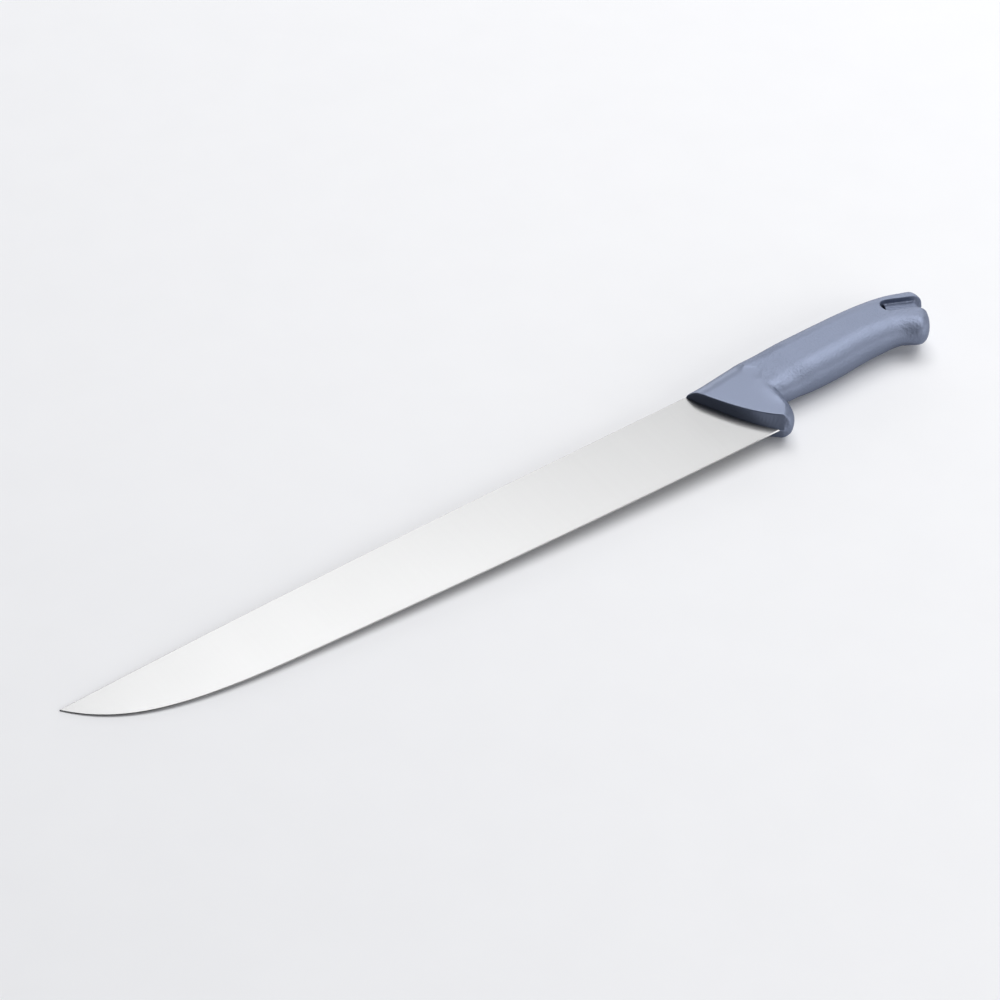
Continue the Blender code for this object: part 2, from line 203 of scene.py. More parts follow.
# %% [markdown]
# ## Blade outline
#
# The blank is cut from sheet steel. Its spine is straight for a quarter of its length and then falls
# gently to the tip. The cutting edge runs nearly parallel to it and sweeps up in a long belly. Two
# cubic curves that meet with one tangent give that sweep with very few numbers: where they meet,
# their angles, and four pulls that say how far each curve follows its tangent.

# %% Blade outline
TIP_DROP = 4.7 * MM
SPINE_CURVE_LENGTH = 290.0 * MM
BELLY_LENGTH = 118.4 * MM
WIDTH_AT_BELLY = 43.4 * MM
EDGE_TAPER_ANGLE = math.radians(2.3)
TIP_ANGLE = math.radians(53.0)
HEEL_EMBED = 3.0 * MM
HEEL_PULL = 0.4
TAPER_PULL = 0.27
SWEEP_PULL = 0.545
TIP_PULL = 0.3
EDGE_STEPS = 70
BELLY_STEPS = 80


def spine_height(x):
    """Height of the spine line: straight, then falling gently towards the tip."""
    run = max(0.0, SPINE_CURVE_LENGTH - BLADE_LENGTH - x)
    return -TIP_DROP * (run / SPINE_CURVE_LENGTH) ** 2


def cutting_edge():
    """Points of the cutting edge: a long run that tapers slightly, then the curved belly."""
    heel = front_line(-BLADE_WIDTH, HEEL_EMBED)
    belly = Vector((BELLY_LENGTH - BLADE_LENGTH, -WIDTH_AT_BELLY))
    tip = Vector((-BLADE_LENGTH, -TIP_DROP))
    taper = Vector((-math.cos(EDGE_TAPER_ANGLE), math.sin(EDGE_TAPER_ANGLE)))
    into_tip = Vector((-math.cos(TIP_ANGLE), math.sin(TIP_ANGLE)))
    level = Vector((HEEL_PULL * (belly.x - heel.x), 0.0))
    before_belly = belly + taper * TAPER_PULL * (belly.x - heel.x)
    after_belly = belly + taper * SWEEP_PULL * BELLY_LENGTH
    before_tip = tip - into_tip * TIP_PULL * BELLY_LENGTH
    long_run = bezier(heel, heel + level, before_belly, belly, EDGE_STEPS)
    curve = bezier(belly, after_belly, before_tip, tip, BELLY_STEPS)
    return long_run + curve[1:]


edge_points = cutting_edge()
print("cutting edge drawn with", len(edge_points), "points")

# %% [markdown]
# ## Blade body
#
# Both flanks are ground flat from a 3 mm spine to less than a millimetre. A narrow bevel makes the
# edge: half a millimetre along the blade and a little more at the heel, where the grinder starts.
# The spine's two corners are broken, as they are on any blade that a hand holds. Each ring of points
# is one cross-section, and the rings are skinned.

# %% Blade body
SPINE_THICKNESS = 3.0 * MM
TIP_THICKNESS = 1.6 * MM
THICKNESS_BEHIND_EDGE = 0.8 * MM
EDGE_BEVEL_WIDTH = 0.5 * MM
HEEL_BEVEL_WIDTH = 0.9 * MM
HEEL_BEVEL_REACH = 14.0 * MM
SPINE_BREAK = 0.3 * MM
BREAK_SHOULDER = 0.3
MOST_BEVEL_OF_WIDTH = 0.5
MOST_BREAK_OF_WIDTH = 0.2
MOST_BREAK_OF_THICKNESS = 0.3


def blade_ring(point, heel, tip):
    """One cross-section of the blade, from the spine round the cutting edge and back."""
    part = (heel.x - point.x) / (heel.x - tip.x)
    spine_x = HEEL_EMBED - part * (HEEL_EMBED + BLADE_LENGTH)
    spine = Vector((spine_x, spine_height(spine_x)))
    width = (spine - point).length
    wider = max(0.0, 1.0 - (heel.x - point.x) / HEEL_BEVEL_REACH)
    bevel = EDGE_BEVEL_WIDTH + wider * (HEEL_BEVEL_WIDTH - EDGE_BEVEL_WIDTH)
    shoulder = point.lerp(spine, min(bevel / width, MOST_BEVEL_OF_WIDTH))
    thick = SPINE_THICKNESS + (TIP_THICKNESS - SPINE_THICKNESS) * part
    share = min(1.0, width / WIDTH_AT_BELLY)
    thick = THICKNESS_BEHIND_EDGE + (thick - THICKNESS_BEHIND_EDGE) * share
    broken = min(SPINE_BREAK, MOST_BREAK_OF_WIDTH * width, MOST_BREAK_OF_THICKNESS * thick)
    upper = [(spine, thick / 2 - broken)]
    near = BREAK_SHOULDER * broken
    upper.append((spine.lerp(point, near / width), thick / 2 - near))
    upper.append((spine.lerp(point, broken / width), thick / 2))
    upper.append((shoulder, THICKNESS_BEHIND_EDGE / 2))
    ring = [(*place, height) for place, height in upper]
    return ring + [(*point, 0.0)] + [(x, y, -z) for x, y, z in reversed(ring)]


def blade_body():
    """The ground blade, skinned through its cross-sections and closed at heel and tip."""
    bm = bmesh.new()
    heel, tip = edge_points[0], edge_points[-1]
    rings = []
    for point in edge_points[:-1]:
        rings.append([bm.verts.new(corner) for corner in blade_ring(point, heel, tip)])
    for ring, following in zip(rings, rings[1:]):
        skin(bm, ring, following)
    cap_to_point(bm, rings[-1], bm.verts.new((tip.x, tip.y, 0.0)))
    bm.faces.new(rings[0])
    return bm


blade = make_object("blade_steel", blade_body())
print("blade has", len(blade.data.polygons), "faces")

# %% [markdown]
# ## Tang
#
# Behind the guard the blank goes on as a narrower plate with three holes. The plastic flows through
# the holes when the handle is moulded, and that is what holds the knife together. Nobody sees it,
# but a part that is taken to pieces should have it.

# %% Tang
SPINE_COVER = 7.0 * MM
TANG_COVER_SPINE = 11.5 * MM
TANG_COVER_BELLY = 8.0 * MM
TANG_TO_SLOT = 20.0 * MM
TANG_CORNER = 3.0 * MM
KEY_HOLE_DIAMETER = 7.0 * MM
KEY_HOLE_COUNT = 3
FIRST_KEY_HOLE = 50.0 * MM
HOLE_SEGMENTS = 48
CORNER_STEPS = 8
STEPS_ABOVE_SPINE = 2
BLADE_SHARP_ANGLE = math.radians(9.0)

tang_low = grip_belly + TANG_COVER_BELLY
tang_high = GRIP_RISE - TANG_COVER_SPINE
tang_end = slot_centre.x - SLOT_WIDTH / 2 - TANG_TO_SLOT


def spine_notch():
    """The corner left off the heel at the spine, where the guard closes over the blade."""
    outline = []
    for index in range(-STEPS_ABOVE_SPINE, CORNER_STEPS + 1):
        y = -index / CORNER_STEPS * SPINE_COVER
        outline.append(front_line(y, -SNUG - front_bow(-y / GUARD_DROP)))
    far = Vector((2 * (HEEL_EMBED + SPINE_COVER), 0.0))
    outline += [outline[-1] + far, outline[0] + far]
    return prism(outline, -SPINE_THICKNESS, SPINE_THICKNESS)


def tang_plate(margin):
    """The tang with two round corners, grown by a margin on every side."""
    radius = TANG_CORNER
    end = tang_end + margin
    low, high = tang_low - margin, tang_high + margin
    outline = [front_line(y, HEEL_EMBED / 2 - margin) for y in (high, low)]
    for corner_y, start in ((low + radius, -90.0), (high - radius, 0.0)):
        for index in range(CORNER_STEPS + 1):
            angle = math.radians(start + 90.0 * index / CORNER_STEPS)
            x = end - radius + radius * math.cos(angle)
            outline.append(Vector((x, corner_y + radius * math.sin(angle))))
    return prism(outline, -SPINE_THICKNESS / 2 - margin, SPINE_THICKNESS / 2 + margin)


def key_pins(radius, half_height):
    """Round pins where the tang's holes are."""
    bm = bmesh.new()
    last = tang_end - (tang_high - tang_low) / 2
    for index in range(KEY_HOLE_COUNT):
        x = FIRST_KEY_HOLE + index * (last - FIRST_KEY_HOLE) / (KEY_HOLE_COUNT - 1)
        place = Matrix.Translation((x, (tang_low + tang_high) / 2, 0.0))
        bmesh.ops.create_cone(
            bm, cap_ends=True, segments=HOLE_SEGMENTS, radius1=radius, radius2=radius,
            depth=2 * half_height, matrix=place,
        )
    return bm


combine(blade, make_object("notch", spine_notch()), "DIFFERENCE")
combine(blade, make_object("tang", tang_plate(0.0)), "UNION")
key_holes = make_object("holes", key_pins(KEY_HOLE_DIAMETER / 2, SPINE_THICKNESS))
combine(blade, key_holes, "DIFFERENCE")
blade.data.shade_smooth()
blade.data.set_sharp_from_angle(angle=BLADE_SHARP_ANGLE)
print("blade and tang have", len(blade.data.polygons), "faces")

# %% [markdown]
# ## Sections of the handle
#
# A moulded handle has no straight run anywhere, so it is drawn as cross-sections. Each one has a
# point on the spine side, a point on the belly side, half its thickness and how round each side is.
# A fullness of 2 is an ellipse, and more of it is squarer. A swell of 1 is even in thickness. Smooth
# curves through those few sections give as many more as the surface needs.

# %% Sections of the handle
GUARD_HALF = 8.3 * MM
GRIP_HALF = 11.2 * MM
BUTT_HALF = 9.0 * MM
FACET_LEAN = 6.5 * MM
GUARD_ROUND_SPINE = 12.0 * MM
GRIP_ROUND_SPINE = 11.0 * MM
BUTT_ROUND_BELLY = 11.0 * MM
BUTT_DROP = 2.9 * MM
BUTT_WIDTH = 38.0 * MM
BUTT_LEAN = math.radians(27.7)
ROUND = 2.0
EVEN = 1.0

Station = namedtuple("Station", "spine belly half round_spine round_belly fullness swell")


def guard_stations():
    """Sections of the guard, from its front to the start of the grip.

    Each row gives the spine point, the belly point, how far the belly side is rounded, how full
    that rounding is, and how many times thicker the belly side is than the spine side.
    """
    rows = [
        (0.0, 0.0, 26.6, -52.2, 3.8, 1.15, 1.00),
        (7.0, 0.4, 31.9, -53.0, 8.1, 1.90, 1.06),
        (16.1, 1.5, 38.05, -47.1, 12.5, 2.00, 1.13),
        (25.0, 2.7, 41.5, -38.8, 24.0, 2.00, 1.21),
        (30.0, 3.3, 41.9, -32.0, 13.0, 2.00, 1.10),
    ]
    stations = []
    for spine_x, spine_y, belly_x, belly_y, round_belly, fullness, swell in rows:
        spine, belly = Vector((spine_x, spine_y)) * MM, Vector((belly_x, belly_y)) * MM
        rounding = (GUARD_ROUND_SPINE, round_belly * MM)
        stations.append(Station(spine, belly, GUARD_HALF, *rounding, fullness, swell))
    return stations


def grip_stations():
    """Sections where the grip swells behind the guard, runs level, and narrows into the butt.

    Each row gives both ends of the section, half the thickness and the rounding of the belly side.
    """
    corner = Vector((HANDLE_REACH, -BUTT_DROP))
    under = corner - Vector((math.sin(BUTT_LEAN), math.cos(BUTT_LEAN))) * BUTT_WIDTH
    rows = [
        (35.9, 3.7, 47.3, -32.1, 8.80, 11.5),
        (41.5, 3.7, 51.6, -32.3, 9.15, 12.5),
        (47.9, 3.6, 56.0, -32.3, 9.60, 13.0),
        (65.0, 3.8, 69.0, -32.5, 11.20, 13.0),
        (86.0, 4.0, 87.0, -32.1, 11.20, 13.0),
        (108.0, 4.1, 104.0, -30.7, 11.00, 13.0),
        (127.0, 3.3, 117.5, -30.6, 10.41, 13.0),
        (141.0, 1.5, 128.5, -31.6, 9.60, 13.0),
    ]
    stations = []
    for spine_x, spine_y, belly_x, belly_y, half, round_belly in rows:
        spine, belly = Vector((spine_x, spine_y)) * MM, Vector((belly_x, belly_y)) * MM
        rounding = (GRIP_ROUND_SPINE, round_belly * MM)
        stations.append(Station(spine, belly, half * MM, *rounding, ROUND, EVEN))
    rounding = (GRIP_ROUND_SPINE, BUTT_ROUND_BELLY)
    stations.append(Station(corner, under, BUTT_HALF, *rounding, ROUND, EVEN))
    return stations


drawn_rows = [[*row.spine, *row.belly, *row[2:]] for row in guard_stations() + grip_stations()]
print(len(drawn_rows), "drawn sections")

# %% [markdown]
# ## The outer form of the handle
#
# The loft uses a smooth curve through each value of the drawn sections. The thickness is held
# between its two neighbours, so that it never swells past a flat run. The bow and the lean of the
# guard's front fade out within the first sections. At the butt the last section shrinks over a dome,
# and at the guard strips close the bowed front.

# %% Outer form
RINGS_BETWEEN = 20
STEPS_IN_QUARTER = 24
STEPS_IN_FLAT = 24
DOME_RINGS = 24
BUTT_DOME = 8.5 * MM
DOME_FULLNESS = 2.2
MOST_ROUNDING = 0.95
FRONT_FADE = 1.2
FRONT_FADE_POWER = 1.5


def blend(before, first, second, after, t):
    """Smooth value between two neighbours in a row."""
    curve = 2 * first + (second - before) * t
    curve += (2 * before - 5 * first + 4 * second - after) * t * t
    curve += (3 * first - before - 3 * second + after) * t ** 3
    return curve / 2


def smooth_sections(rows):
    """The drawn sections with many more between them, on smooth curves."""
    before = [2 * a - b for a, b in zip(rows[0], rows[1])]
    after = [2 * a - b for a, b in zip(rows[-1], rows[-2])]
    padded = [before] + rows + [after]
    result = []
    for index in range(len(rows) - 1):
        for step in range(RINGS_BETWEEN):
            t = step / RINGS_BETWEEN
            row = [blend(*values, t) for values in zip(*padded[index:index + 4])]
            low, high = sorted((rows[index][4], rows[index + 1][4]))
            row[4] = min(max(row[4], low), high)
            result.append(row)
    result.append(rows[-1])
    return result


def section_profile(row):
    """Distance from the spine side and height along the upper half of a section."""
    width = (Vector(row[2:4]) - Vector(row[0:2])).length
    half, round_spine, round_belly, fullness, swell = row[4:9]
    limit = min(1.0, MOST_ROUNDING * width / (round_spine + round_belly))
    round_spine, round_belly = round_spine * limit, round_belly * limit
    steps = range(STEPS_IN_QUARTER + 1)
    angles = [0.5 * math.pi * index / STEPS_IN_QUARTER for index in steps]
    profile = [(round_spine * (1.0 - math.cos(a)), half * math.sin(a)) for a in angles]
    flat = width - round_spine - round_belly
    for index in range(1, STEPS_IN_FLAT):
        part = index / STEPS_IN_FLAT
        profile.append((round_spine + flat * part, half * (1.0 + (swell - 1.0) * part * part)))
    for angle in reversed(angles):
        inward = 1.0 - max(math.cos(angle), 0.0) ** (2.0 / fullness)
        height = half * swell * math.sin(angle) ** (2.0 / fullness)
        profile.append((width - round_belly * inward, height))
    return profile


def section_point(row, distance, height, setback):
    """Place of one point of a section, shifted to the guard's bulging, leaning front."""
    spine, belly = Vector(row[0:2]), Vector(row[2:4])
    part = distance / (belly - spine).length
    place = spine.lerp(belly, part)
    lean = FACET_LEAN * part ** 3 * abs(height) / row[4]
    return Vector((place.x + setback * (lean - front_bow(part)), place.y, height))


def whole_section(row, setback):
    """All points of a section: over the top from the spine to the belly, and back below."""
    upper = section_profile(row)
    lower = [(distance, -height) for distance, height in reversed(upper[1:-1])]
    return [section_point(row, *place, setback) for place in upper + lower]


def dome_sections(row):
    """Sections that shrink over the rounded end of the butt, and the point where they close."""
    spine, belly = Vector(row[0:2]), Vector(row[2:4])
    centre = (spine + belly) / 2
    across = (belly - spine).normalized()
    outward = Vector((-across.y, across.x))
    base = whole_section(row, 0.0)
    sections = []
    for index in range(1, DOME_RINGS + 1):
        angle = 0.5 * math.pi * index / (DOME_RINGS + 0.5)
        shrink = math.cos(angle) ** (2.0 / DOME_FULLNESS)
        reach = BUTT_DOME * math.sin(angle) ** (2.0 / DOME_FULLNESS)
        section = []
        for point in base:
            plan = centre + (point.to_2d() - centre) * shrink + outward * reach
            section.append(Vector((plan.x, plan.y, point.z * shrink)))
        sections.append(section)
    return sections, (centre + outward * BUTT_DOME).to_3d()


def close_front(bm, ring, row):
    """The front of the guard: strips from both facets to its middle line."""
    upper = section_profile(row)
    points = [section_point(row, distance, 0.0, 1.0) for distance, _ in upper[1:-1]]
    middle = [ring[0]] + [bm.verts.new(point) for point in points] + [ring[len(upper) - 1]]
    for index in range(len(upper) - 1):
        for side in (1, -1):
            outer = [ring[side * index], ring[side * (index + 1)]]
            corners = outer + [middle[index + 1], middle[index]]
            bm.faces.new(list(dict.fromkeys(corners)))


def handle_body():
    """The outer form of the handle, lofted through its sections and closed at both ends."""
    bm = bmesh.new()
    rows = smooth_sections(drawn_rows)
    sections = []
    for index, row in enumerate(rows):
        setback = max(0.0, 1.0 - index / (FRONT_FADE * RINGS_BETWEEN)) ** FRONT_FADE_POWER
        sections.append(whole_section(row, setback))
    dome, tip = dome_sections(rows[-1])
    rings = [[bm.verts.new(point) for point in section] for section in sections + dome]
    for ring, following in zip(rings, rings[1:]):
        skin(bm, ring, following)
    cap_to_point(bm, rings[-1], bm.verts.new(tip))
    close_front(bm, rings[0], rows[0])
    return bm


handle = make_object("handle_moulding", handle_body())
print("outer form has", len(handle.data.polygons), "faces")

# %% [markdown]
# ## Slot and hang hole in the butt
#
# The mould leaves a slot through the butt, with a thinner web across most of it, so only its round
# inner end goes right through. It is cut as one solid: the slot's outline less the web.

# %% Slot
SLOT_ANGLE = math.radians(22.0)
HANG_HOLE_LENGTH = 3.8 * MM
WEB_LENGTH = 18.5 * MM
WEB_THICKNESS = 11.8 * MM
WEB_END_THICKNESS = 10.0 * MM
SLOT_ROUND_STEPS = 32

along_slot = Vector((math.cos(SLOT_ANGLE), -math.sin(SLOT_ANGLE)))
across_slot = Vector((-along_slot.y, along_slot.x))


def slot_web():
    """The web that stays at half depth in the slot, from the hang hole nearly to the butt's end."""
    start = slot_centre + along_slot * (HANG_HOLE_LENGTH - SLOT_WIDTH / 2)
    end = start + along_slot * WEB_LENGTH
    bm = bmesh.new()
    rings = []
    for place, thickness in ((start, WEB_THICKNESS), (end, WEB_END_THICKNESS)):
        above, below = place + across_slot * SLOT_WIDTH, place - across_slot * SLOT_WIDTH
        corners = ((above, 1), (below, 1), (below, -1), (above, -1))
        rings.append([bm.verts.new((*corner, side * thickness / 2)) for corner, side in corners])
    skin(bm, *rings)
    for ring in rings:
        bm.faces.new(ring)
    return bm


def slot_outline():
    """The slot's outline, round at its inner end and open past the butt."""
    radius = SLOT_WIDTH / 2
    far = along_slot * (SLOT_FROM_END + 2 * BUTT_DOME)
    outline = [slot_centre + far + across_slot * radius]
    for index in range(SLOT_ROUND_STEPS + 1):
        angle = math.pi * index / SLOT_ROUND_STEPS
        spoke = across_slot * math.cos(angle) - along_slot * math.sin(angle)
        outline.append(slot_centre + radius * spoke)
    return outline + [slot_centre + far - across_slot * radius]


slot_space = make_object("slot_space", prism(slot_outline(), -2 * GRIP_HALF, 2 * GRIP_HALF))
combine(slot_space, make_object("slot_web", slot_web()), "DIFFERENCE")
combine(handle, slot_space, "DIFFERENCE")
print("handle with its slot has", len(handle.data.polygons), "faces")

# %% [markdown]
# ## Soft edges from the mould
#
# No edge of a moulding is knife sharp: it comes out with a small radius. Rebuilding the surface from
# very small cubes and smoothing it a little rounds every edge and rim by about a third of a
# millimetre, whatever made the edge. That would be very hard to do with bevels on a Boolean's faces.

# %% Soft edges
VOXEL = 0.32 * MM
remesh = handle.modifiers.new("remesh", "REMESH")
remesh.mode = "VOXEL"
remesh.voxel_size = VOXEL
freeze(handle)
print("rebuilt handle has", len(handle.data.polygons), "faces")

# %% [markdown]
# ## Smooth facets and grained grip
#
# The flat facets of the guard end at a curved line. On its far side the grip starts with a low step
# and the mould is etched, so the grip feels like fine leather, while the facets stay smooth. A
# corrective smooth takes the last roughness of the cubes out of the surface. The same line serves
# twice: to press the mesh down to the facets, and to say where the grain is.

# %% Facet line
FACET_LINE = [
    (25.5, 11.5), (35.9, -3.1), (39.6, -6.4), (41.9, -9.5), (42.1, -12.0), (40.7, -14.9),
    (37.9, -18.3), (35.4, -25.3), (35.1, -30.5), (35.2, -41.2), (29.0, -48.8), (20.0, -60.0),
]
RIM_SPAN = (-44.0, -34.0, -18.0, -8.0)
RIM_SHARES = (0.0, 1.0, 1.0, 0.0)
RIM_RISE = 0.28 * MM
RIM_FILLET = 8.0 * MM
STEP_SLOPE = 0.2
STEP_EASE = 0.6 * MM
STEP_REACH = 3.0 * MM
STEP_SOFTNESS = 1.5 * MM
SMOOTH_FACTOR = 0.5
SMOOTH_ROUNDS = 4


def behind_facet_line(points):
    """Distance of each plan point from the facet line, positive on the side of the grip."""
    line = np.array(FACET_LINE) * MM
    nearest = np.full(len(points), 1.0)
    behind = np.zeros(len(points), dtype=bool)
    for first, second in zip(line, line[1:]):
        run = second - first
        part = np.clip(((points - first) @ run) / (run @ run), 0.0, 1.0)
        nearest = np.minimum(nearest, np.linalg.norm(points - first - part[:, None] * run, axis=1))
        level = (points[:, 1] <= first[1]) & (points[:, 1] > second[1])
        behind |= level & (points[:, 0] > first[0] + (points[:, 1] - first[1]) / run[1] * run[0])
    return np.where(behind, nearest, -nearest)


def mesh_points(mesh):
    """All points of a mesh as an array."""
    flat = np.empty(3 * len(mesh.vertices))
    mesh.vertices.foreach_get("co", flat)
    return flat.reshape(-1, 3)


def facet_height(points):
    """Height of the facet over plan points: level, then up to its rim, then the step's slope."""
    behind = behind_facet_line(points)
    rise = RIM_RISE * np.interp(points[:, 1] / MM, RIM_SPAN, RIM_SHARES)
    curve = np.clip(1.0 + behind / RIM_FILLET, 0.0, 1.0) ** 2
    step = (behind + np.sqrt(behind ** 2 + STEP_SOFTNESS ** 2)) / 2.0
    return GUARD_HALF + rise * curve + STEP_SLOPE * step


def press_down(points):
    """Heights of the points, held under the facet and eased into the grip behind its line."""
    height = np.abs(points[:, 2])
    ceiling = facet_height(points[:, :2])
    ease = STEP_EASE * np.clip(behind_facet_line(points[:, :2]) / STEP_REACH, 0.0, 1.0)
    eased = (height + ceiling - np.sqrt((height - ceiling) ** 2 + ease ** 2)) / 2.0
    return np.copysign(eased, points[:, 2])


points = mesh_points(handle.data)
points[:, 2] = press_down(points)
handle.data.vertices.foreach_set("co", points.ravel())
smooth = handle.modifiers.new("smooth", "CORRECTIVE_SMOOTH")
smooth.factor = SMOOTH_FACTOR
smooth.iterations = SMOOTH_ROUNDS
smooth.use_only_smooth = True
freeze(handle)
print("facets are", round(2 * GUARD_HALF / MM, 1), "mm apart")

# %% [markdown]
# ## Grain of the grip
#
# The pebbles of the grain are real bumps, a few hundredths of a millimetre high. Every point of the
# grip moves out along its normal, most in the middle of the cell that it lies in and not at all on
# the cell's rim, so the light breaks up on them as it does on leather.

# %% Grain
GRAIN_PITCH = 1.35 * MM
GRAIN_HEIGHT = 0.085 * MM
GRAIN_FADE = 1.6 * MM
PEBBLE_REACH = 0.6


def grain_mask(points):
    """How grained each plan point is, from 0 on the facets to 1 on the grip."""
    return np.clip(0.5 + behind_facet_line(points[:, :2]) / GRAIN_FADE, 0.0, 1.0)


def pebbles(points):
    """Height of the grain's pebbles, from 0 between them to 1 on their tops."""
    nearest = [noise.voronoi(Vector(point))[0][0] for point in points / GRAIN_PITCH]
    return 1.0 - np.clip(np.array(nearest) / PEBBLE_REACH, 0.0, 1.0) ** 2


points = mesh_points(handle.data)
normals = np.empty(points.size)
handle.data.vertices.foreach_get("normal", normals)
height = GRAIN_HEIGHT * grain_mask(points) * pebbles(points)
points += normals.reshape(-1, 3) * height[:, None]
handle.data.vertices.foreach_set("co", points.ravel())
print("grain stands out by up to", round(float(height.max()) / MM, 3), "mm")

# %% [markdown]
# ## The space for the steel
#
# In the mould the plastic closes round the heel and the tang. The handle is cut with the same shapes
# as the blade, grown by a few hundredths of a millimetre, so that the two pieces touch all round but
# never share any space.

# %% Space for the steel
HANDLE_SHARP_ANGLE = math.radians(50.0)


def heel_space():
    """Wedge-shaped space in the guard's front for the heel of the blade."""
    bm = bmesh.new()
    rings = []
    for y in (SNUG - SPINE_COVER, -BLADE_WIDTH - SNUG):
        part = min(1.0, -y / BLADE_WIDTH)
        thickness = SPINE_THICKNESS + (THICKNESS_BEHIND_EDGE - SPINE_THICKNESS) * part
        half = thickness / 2 + SNUG
        front = front_line(y, -HEEL_EMBED - FRONT_BOW)
        back = front_line(y, HEEL_EMBED + SNUG)
        corners = ((front, half), (back, half), (back, -half), (front, -half))
        rings.append([bm.verts.new((corner.x, corner.y, z)) for corner, z in corners])
    skin(bm, *rings)
    for ring in rings:
        bm.faces.new(ring)
    return bm


tang_space = make_object("tang_space", tang_plate(SNUG))
posts = make_object("posts", key_pins(KEY_HOLE_DIAMETER / 2 - SNUG, 2 * GRIP_HALF))
combine(tang_space, posts, "DIFFERENCE")
combine(tang_space, make_object("heel_space", heel_space()), "UNION")
combine(handle, tang_space, "DIFFERENCE")
handle.data.shade_smooth()
handle.data.set_sharp_from_angle(angle=HANDLE_SHARP_ANGLE)
print("finished handle has", len(handle.data.polygons), "faces")

# %% [markdown]
# ## Where the plastic is grained
#
# The plastic's material has to know where the mould was etched. Every point of the mesh carries one
# number for that, from 0 on the smooth guard to 1 on the grip, and the material reads it.

# %% Grain mask
mask = grain_mask(mesh_points(handle.data))
handle.data.attributes.new("grain", "FLOAT", "POINT").data.foreach_set("value", mask)
print("grain covers", round(100.0 * float((mask > 0.5).mean()), 1), "% of the points")

# %% [markdown]
# ## Node helpers
#
# A finish is a small graph of nodes. One helper adds a node, sets its values and joins its inputs.
# The others name what is used most: noise, a sum, a mix of two colours and a change of range. So a
# whole finish reads like a list.

# %% Node helpers
NOISE_LOW, NOISE_HIGH = 0.3, 0.7


def new_finish(name):
    """An empty material with its shader, and the object's own coordinates in metres."""
    material = bpy.data.materials.new(name)
    material.use_nodes = True
    shader = material.node_tree.nodes["Principled BSDF"]
    coordinates = material.node_tree.nodes.new("ShaderNodeTexCoord")
    return material, shader, coordinates.outputs["Object"]


def add(material, kind, links=None, **values):
    """Add a node of a kind, with plain settings and values or links for its inputs."""
    node = material.node_tree.nodes.new("ShaderNode" + kind)
    for name, value in values.items():
        setattr(node, name, value)
    for socket, value in (links or {}).items():
        target = node.inputs[socket]
        if isinstance(value, bpy.types.NodeSocket):
            material.node_tree.links.new(value, target)
        else:
            target.default_value = value
    return node


def ramp(material, source, low, high, out_low, out_high):
    """Map a range of one value to another range."""
    links = {0: source, 1: low, 2: high, 3: out_low, 4: out_high}
    return add(material, "MapRange", links).outputs[0]


def clouds(material, place, scale, detail, roughness):
    """Noise with a number of waves in a metre, layers of detail and how strong these are."""
    links = {"Vector": place, "Scale": scale, "Detail": detail, "Roughness": roughness}
    return add(material, "TexNoise", links).outputs[0]


def plus(material, first, second):
    """Sum of two values."""
    return add(material, "Math", {0: first, 1: second}, operation="ADD").outputs[0]


def mix(material, share, dark, light):
    """Colour between a dark and a light one."""
    return add(material, "Mix", {0: share, 6: dark, 7: light}, data_type="RGBA").outputs[2]


def join(material, source, shader, socket):
    """Link a value to one input of the shader."""
    material.node_tree.links.new(source, shader.inputs[socket])

# %% [markdown]
# ## Satin steel
#
# The flanks are ground across the blade by a wide wheel and then brushed, which leaves very fine
# lines from spine to edge, slightly brighter and duller bands, and a soft, blurred reflection.
# Noise that is stretched far across the blade gives the lines, and slow noise gives the bands. The
# numbers are how many waves of noise lie in a metre.

# %% Satin steel
ACROSS_BLADE = (1.0, 0.02, 0.02)
GRINDING_LINES = 5200.0
GRINDING_BANDS = 260.0
STEEL_CLOUDS = 22.0
TONE_LOW, TONE_HIGH = 0.9, 2.1
STEEL_DARK = (0.352, 0.352, 0.353, 1.0)
STEEL_LIGHT = (0.370, 0.370, 0.371, 1.0)
STEEL_SMOOTHEST, STEEL_ROUGHEST = 0.28, 0.34
LINE_DEPTH = 0.003 * MM
LINE_STRENGTH = 0.12


def satin_steel():
    """Ground stainless steel with fine lines across the blade."""
    steel, shader, place = new_finish("satin_steel")
    lines = add(steel, "Mapping", {"Vector": place, "Scale": ACROSS_BLADE}).outputs[0]
    fine = clouds(steel, lines, GRINDING_LINES, 4.0, 0.65)
    bands = clouds(steel, lines, GRINDING_BANDS, 3.0, 0.5)
    slow = clouds(steel, place, STEEL_CLOUDS, 3.0, 0.5)
    tone = plus(steel, plus(steel, fine, bands), slow)
    share = ramp(steel, tone, TONE_LOW, TONE_HIGH, 0.0, 1.0)
    join(steel, mix(steel, share, STEEL_DARK, STEEL_LIGHT), shader, "Base Color")
    dull = ramp(steel, tone, TONE_LOW, TONE_HIGH, STEEL_SMOOTHEST, STEEL_ROUGHEST)
    join(steel, dull, shader, "Roughness")
    bump = add(steel, "Bump", {"Height": fine, "Strength": LINE_STRENGTH, "Distance": LINE_DEPTH})
    join(steel, bump.outputs[0], shader, "Normal")
    shader.inputs["Metallic"].default_value = 1.0
    return steel


blade.data.materials.clear()
blade.data.materials.append(satin_steel())
print("steel finish has", len(blade.data.materials[0].node_tree.nodes), "nodes")

# %% [markdown]
# ## Moulded plastic
#
# The handle is a hard dark blue plastic. Its colour is nearly black in the shade, and most of what
# is seen on top is the soft light that its matt skin throws back. The grip's pebbles are in the mesh
# already, so the finish only adds the very fine roughness of the skin, stronger on the grain.

